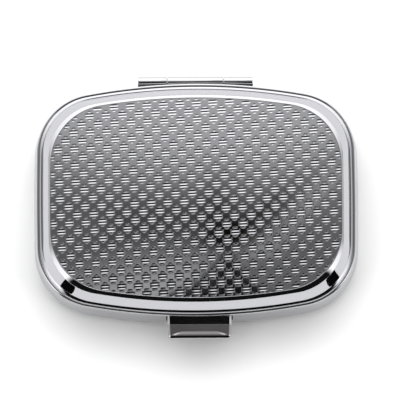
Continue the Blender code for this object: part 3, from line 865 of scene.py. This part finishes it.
def make_bracket():
    """The guide behind the catch: a bent strip with two riveted tabs at its front."""
    low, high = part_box("catch_bracket")
    half = 0.2 * MM
    back = [(low.y + half, low.z + half), (high.y - half, low.z + half), (high.y - half, high.z)]
    floor = strip_between(fillet(back, 0.4 * MM, 5, False), low.x, high.x, 2 * half)
    parts = [soften(floor, 0.06 * MM, 2)]
    gap = 6.6 * MM
    for a, b in ((low.x, CATCH_X - gap), (CATCH_X + gap, high.x)):
        tab = block((a, low.y, low.z), (b, low.y + 2 * half, high.z))
        parts.append(soften(tab, 0.15 * MM, 3))
    obj = new_object("guide_bracket", merged(*parts), SPRING_STEEL)
    return install(obj, "base", "spring_steel", "catch_bracket")


def make_spring():
    """A bowed leaf spring, in the bowed shape it has at rest."""
    low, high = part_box("catch_spring")
    middle, half = (low.x + high.x) / 2, (high.x - low.x) / 2
    crown, ends = low.y + 0.1 * MM, high.y - 0.1 * MM
    steps = 24
    bm = bmesh.new()
    shares = [2 * i / steps - 1 for i in range(steps + 1)]
    chain = [bm.verts.new((middle + half * s, crown + (ends - crown) * s * s, low.z)) for s in shares]
    edges = [bm.edges.new(pair) for pair in zip(chain, chain[1:])]
    made = bmesh.ops.extrude_edge_only(bm, edges=edges)["geom"]
    raised = [item for item in made if isinstance(item, bmesh.types.BMVert)]
    bmesh.ops.translate(bm, vec=(0, 0, high.z - low.z), verts=raised)
    spring = thicken(new_object("leaf_spring", bm, SPRING_STEEL), 0.18 * MM, 0)
    install(spring, "base", "spring_steel", "catch_spring")
    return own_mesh(spring)


def make_rivets():
    """The two rivets that hold the bracket: a shank, and a domed head at each end."""
    for side in ("left", "right"):
        low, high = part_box(f"bracket_rivet_{side}")
        x, z = (low.x + high.x) / 2, (low.z + high.z) / 2
        head = (high.z - low.z) / 2
        crown = 0.28 * MM
        parts = [bar((x, low.y + 0.1 * MM, z), (x, high.y - 0.1 * MM, z), 0.5 * MM, 24)]
        for y, way in ((low.y, 1), (high.y, -1)):
            dome = bmesh.new()
            bmesh.ops.create_uvsphere(dome, u_segments=24, v_segments=12, radius=head)
            bmesh.ops.scale(dome, vec=(1, crown / head, 1), verts=dome.verts)
            flat = bmesh.ops.bisect_plane(
                dome,
                geom=dome.faces[:] + dome.edges[:] + dome.verts[:],
                plane_co=(0, 0, 0),
                plane_no=(0, way, 0),
                clear_outer=True,
            )["geom_cut"]
            rim = [item for item in flat if isinstance(item, bmesh.types.BMEdge)]
            bmesh.ops.contextual_create(dome, geom=rim)
            bmesh.ops.translate(dome, vec=(x, y + way * crown, z), verts=dome.verts)
            parts.append(dome)
        rivet = new_object(f"rivet_{side}", merged(*parts), RIVET_STEEL)
        install(rivet, "base", "rivet_steel", f"bracket_rivet_{side}")


# ---------------------------------------------------------------- tray and mirror


def well(side):
    """The hollow of a well on one side of the divider, clear of the catch's pocket."""
    inset, floor_z = 3.55 * MM, 1.65 * MM
    rings = rings_of([(inset, floor_z), (inset, 12 * MM)])
    hollow = new_object("well", swept(rings, cap_first=True, cap_last=True))
    divider = block((-TRAY_WALL / 2, -CLEAR_Y, 0), (TRAY_WALL / 2, CLEAR_Y, CLEAR_Z))
    far = -side * CLEAR_X
    other = block((min(far, 0), -CLEAR_Y, 0), (max(far, 0), CLEAR_Y, CLEAR_Z))
    half = POCKET_HALF_WIDTH + TRAY_WALL
    boss = block((CATCH_X - half, -CLEAR_Y, 0), (CATCH_X + half, POCKET_Y + TRAY_WALL, CLEAR_Z))
    cut(hollow, divider, other, boss)
    bm = bmesh.new()
    bm.from_mesh(hollow.data)
    bpy.data.objects.remove(hollow)
    bmesh.ops.dissolve_limit(bm, angle_limit=0.5 * DEGREE, verts=bm.verts, edges=bm.edges)
    return soften(bm, 0.7 * MM, 5, 50 * DEGREE)


def make_tray():
    """The moulded tray: two wells, a divider, a flat rim, and a pocket for the catch's works."""
    low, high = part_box("pill_tray")
    rim_z, under = high.z, high.z - 0.5 * MM
    outside = [(5.2 * MM, low.z), (4.0 * MM, 1.2 * MM), (3.1 * MM, 2.4 * MM), (2.75 * MM, under)]
    outside += [(1.65 * MM, under), (1.65 * MM, rim_z - 0.12 * MM), (1.77 * MM, rim_z)]
    tray = new_object("tray", swept(rings_of(outside), cap_first=True, cap_last=True), POLYPROPYLENE)
    half = POCKET_HALF_WIDTH
    pocket = block((CATCH_X - half, -CLEAR_Y, -MM), (CATCH_X + half, POCKET_Y, POCKET_TOP_Z))
    half = 3.0 * MM
    keeper_gap = block((CATCH_X - half, -19.1 * MM, 8 * MM), (CATCH_X + half, -15.75 * MM, 12 * MM))
    soften(keeper_gap, 0.4 * MM, 4)
    half = HINGE_HALF_LENGTH + HINGE_CLEARANCE
    leaf_relief = block((-half, 16.65 * MM, 6 * MM), (half, CLEAR_Y, CLEAR_Z))
    cut(tray, well(-1), well(1), pocket, keeper_gap, leaf_relief)
    bevel = tray.modifiers.new("mouths", "BEVEL")
    bevel.width = 0.14 * MM
    bevel.segments = 3
    bevel.limit_method = "ANGLE"
    bevel.angle_limit = 40 * DEGREE
    settle(tray)
    tray.data.set_sharp_from_angle(angle=35 * DEGREE)
    return install(tray, "base", "tray_plastic", "pill_tray")


def make_mirror():
    """The mirror: a plate of the lid's own plan, with a ground bevel round its edge."""
    low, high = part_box("lid_mirror")
    inset = RIM_HALF_WIDTH - high.x
    bevel, arris = 0.25 * MM, 0.08 * MM
    section = [(inset + bevel, low.z), (inset, low.z + bevel)]
    section += [(inset, high.z - arris), (inset + arris, high.z)]
    bm = swept(rings_of(section), cap_first=True, cap_last=True)
    bm.faces.ensure_lookup_table()
    bmesh.ops.recalc_face_normals(bm, faces=bm.faces)
    for face in bm.faces:
        face.material_index = 0 if abs(face.normal.z) > 0.99 else 1
    obj = new_object("mirror", bm, SILVERED_GLASS, GROUND_GLASS)
    return install(obj, "lid", "mirror_glass", "lid_mirror")


# ---------------------------------------------------------------- table, lights and camera


def emitting(name, brightness):
    made = bpy.data.materials.new(name)
    made.use_nodes = True
    tree = made.node_tree
    tree.nodes.clear()
    glow = add_node(tree, "ShaderNodeEmission", {"Color": (brightness, brightness, brightness, 1)})
    output = add_node(tree, "ShaderNodeOutputMaterial")
    tree.links.new(glow.outputs[0], output.inputs["Surface"])
    return made


def make_table():
    """A white matt table top."""
    bm = bmesh.new()
    bmesh.ops.create_grid(bm, x_segments=1, y_segments=1, size=6.0)
    made, tree, shader = new_material("white_laminate", "#F2F2F2", 0.0, 0.85)
    shader.inputs["Specular IOR Level"].default_value = 0.2
    grained(tree, shader, 0.4 * MM, 0.004 * MM)
    table = new_object("table", bm, made)


def card(name, corners, brightness):
    """A flat glowing card that only mirrors see: a painted reflection, which lights nothing and casts
    no shadow.
    """
    bm = bmesh.new()
    bmesh.ops.contextual_create(bm, geom=[bm.verts.new(corner) for corner in corners])
    obj = new_object(name, bm, emitting(name, brightness))
    obj.visible_camera = False
    obj.visible_diffuse = False
    obj.visible_shadow = False


def make_lamp():
    """A broad soft lamp overhead, which lights the table but stays out of the metal's reflections."""
    lamp = bpy.data.lights.new("overhead_softbox", "AREA")
    lamp.shape = "RECTANGLE"
    lamp.size, lamp.size_y = 1.8, 1.6
    lamp.energy = 17.0
    obj = bpy.data.objects.new("overhead_softbox", lamp)
    obj.location = (0.0, 0.3, 1.5)
    obj.rotation_euler = (-obj.location).to_track_quat("-Z", "Y").to_euler()
    obj.visible_glossy = False
    bpy.context.scene.collection.objects.link(obj)


def make_cards():
    """Two near-black cards at the front corners, seen only in the metal: painted dark reflections."""
    for name, azimuth, start in (("left_painted_reflection", -43, (-20, -15)), ("right_painted_reflection", 54, (21, -15))):
        ahead = Vector((sin(azimuth * DEGREE), -cos(azimuth * DEGREE), 0))
        across = Vector((-ahead.y, ahead.x, 0))
        base = Vector((*start, 1.0))
        corners = [base + ahead * r + across * w for r, w in ((15, -5), (400, -42), (400, 42), (15, 5))]
        card(name, [corner * MM for corner in corners], 0.004)


class Sum:
    """Arithmetic on node sockets, written as it would be on numbers."""

    def __init__(self, tree, socket):
        self.tree = tree
        self.socket = socket

    def math(self, operation, *others):
        others = [other.socket if isinstance(other, Sum) else other for other in others]
        inputs = enumerate([self.socket, *others])
        made = add_node(self.tree, "ShaderNodeMath", inputs, operation=operation)
        return Sum(self.tree, made.outputs[0])

    def __add__(self, other):
        return self.math("ADD", other)

    def __sub__(self, other):
        return self.math("SUBTRACT", other)

    def __mul__(self, other):
        return self.math("MULTIPLY", other)

    def step(self, low, high):
        """0 below low and 1 above high, with a smooth rise between."""
        made = add_node(
            self.tree,
            "ShaderNodeMapRange",
            {"Value": self.socket, "From Min": low, "From Max": high},
            interpolation_type="SMOOTHSTEP",
        )
        return Sum(self.tree, made.outputs[0])

    def curve(self, stops):
        """A value read from (position, value) stops."""
        low, high = stops[0][0], stops[-1][0]
        made = add_node(
            self.tree, "ShaderNodeMapRange", {"Value": self.socket, "From Min": low, "From Max": high}
        )
        ramp = add_node(self.tree, "ShaderNodeValToRGB", {"Fac": made.outputs[0]})
        ramp.color_ramp.interpolation = "LINEAR"
        most = max(value for _, value in stops)
        elements = ramp.color_ramp.elements
        while len(elements) < len(stops):
            elements.new(0.5)
        for element, (position, value) in zip(elements, stops):
            element.position = (position - low) / (high - low)
            element.color = (value / most,) * 3 + (1,)
        return Sum(self.tree, ramp.outputs["Color"]) * most


def squared(value):
    return value * value


def near(value, reach):
    """1 where a value is nought, falling smoothly to 0 at the reach on both sides."""
    return value.math("ABSOLUTE").step(reach, 0.0)


def mix(low, high, share):
    """low where share is 0, and high where it is 1."""
    return low + (high - low) * share


def make_studio():
    """A light tent, open to the front: white behind and at its corners, greyer at its sides and top."""
    world = bpy.data.worlds.new("light_tent")
    bpy.context.scene.world = world
    world.use_nodes = True
    tree = world.node_tree
    tree.nodes.clear()
    way = add_node(tree, "ShaderNodeTexCoord").outputs["Generated"]
    parts = add_node(tree, "ShaderNodeSeparateXYZ", {"Vector": way})
    x, y, z = (Sum(tree, parts.outputs[i]) for i in range(3))
    azimuth = x.math("ARCTAN2", y * -1.0) * (180 / pi)
    walls = azimuth.curve(WALL_TONES)
    overhead = z.math("MAXIMUM", 0.05)
    right = x.math("DIVIDE", overhead) * (180 / pi)
    front = (y * -1.0).math("DIVIDE", overhead) * (180 / pi) - CEILING_SHIFT
    # The top is grey cloth with a dark slot across it, and it brightens towards the back.
    ceiling = front.step(-7.5, -16.5) * 0.56 + front.step(-7.0, 0.5) * 0.54 + 0.1
    ceiling = ceiling + front.step(-20.0, -32.0) * 1.55
    ceiling = ceiling.math("MAXIMUM", right.step(-0.6, -3.4) * 0.18)
    # A bright seam crosses it towards the right, with a greyer panel beyond and a dark strut before.
    panel = (squared(front + 5.5) * 0.004 + 0.19).math("MINIMUM", 0.55)
    seam = front + right * 2.67 + 0.66
    ceiling = mix(ceiling, panel, seam.step(-0.3, 0.5) * right.step(0.44, 0.6))
    seam_ends = front.step(-14.0, -9.5) * front.step(-3.2, -4.6)
    ceiling = ceiling + near(seam, 1.5) * seam_ends * right.step(0.9, 1.5) * 0.26
    strut = near(seam + 2.7, 1.6) * front.step(-6.0, -8.0) * front.step(-15.0, -9.0)
    ceiling = ceiling * (strut * -0.5 + 1.0)
    band = near(right - 0.55, 0.8) * front.step(-4.6, -6.6) * front.step(-17.0, -8.0)
    ceiling = ceiling * (band * -0.55 + 1.0)
    spot_right = right - 0.85
    spot_front = front + 6.1 + spot_right * 1.2
    spot = (squared(spot_right) * 1.1 + squared(spot_front) * 0.3).math("SQRT")
    ceiling = ceiling * (spot.step(1.15, 0.35) * -0.93 + 1.0)
    gap = (front + right * 4.4 + 1.7).step(0.0, 0.2) * right.step(0.9, 0.8)
    ceiling = mix(ceiling, Sum(tree, dark(tree)), gap.math("MAXIMUM", front.step(0.9, 1.1)))
    zenith = z.step(0.84, 0.92)
    tent = mix(walls, ceiling, zenith)
    eye = add_node(tree, "ShaderNodeLightPath").outputs["Is Camera Ray"]
    shown = mix(tent, Sum(tree, add_value(tree, 1.0)), Sum(tree, eye))
    output = add_node(tree, "ShaderNodeOutputWorld")
    background = add_node(tree, "ShaderNodeBackground", {"Color": shown.socket, "Strength": 1.0})
    tree.links.new(background.outputs[0], output.inputs["Surface"])


def add_value(tree, number):
    made = add_node(tree, "ShaderNodeValue")
    made.outputs[0].default_value = number
    return made.outputs[0]


def dark(tree):
    return add_value(tree, 0.008)


def make_camera():
    """A long lens, looking steeply down from the front, and rolled a very little."""
    elevation = CAMERA_ELEVATION * DEGREE
    distance = 1.0
    field = 66.3 * MM
    camera = bpy.data.objects.new("camera", bpy.data.cameras.new("camera"))
    camera.data.sensor_width = 36.0
    camera.data.lens = camera.data.sensor_width * distance / field
    target = Vector((0.65 * MM, 0.38 * MM, 7.2 * MM))
    back = Vector((0, -cos(elevation), sin(elevation)))
    camera.location = target + back * distance
    roll = Matrix.Rotation(-0.35 * DEGREE, 3, "Z")
    camera.rotation_euler = ((-back).to_track_quat("-Z", "Y").to_matrix() @ roll).to_euler()
    camera.data.clip_start = 0.01
    camera.data.clip_end = 50.0
    bpy.context.scene.collection.objects.link(camera)
    bpy.context.scene.camera = camera
    bpy.context.scene.view_settings.view_transform = "Standard"


SPRING_STEEL = spring_steel()
RIVET_STEEL = rivet_steel()
POLYPROPYLENE = moulded_polypropylene()
SILVERED_GLASS = silvered_glass()
GROUND_GLASS = ground_glass()


def build():
    make_camera()
    make_studio()
    make_table()
    make_lamp()
    make_cards()
    make_lid_cover()
    make_lid_frame()
    make_lid_leaf()
    make_keeper()
    make_mirror()
    make_base_cover()
    make_base_frame()
    make_base_leaf()
    make_hinge_pin()
    make_push_catch()
    make_bracket()
    make_spring()
    make_rivets()
    make_tray()
    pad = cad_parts["mirror_pad"]
    pad.data.materials.clear()
    pad.data.materials.append(foam_tape())


build()
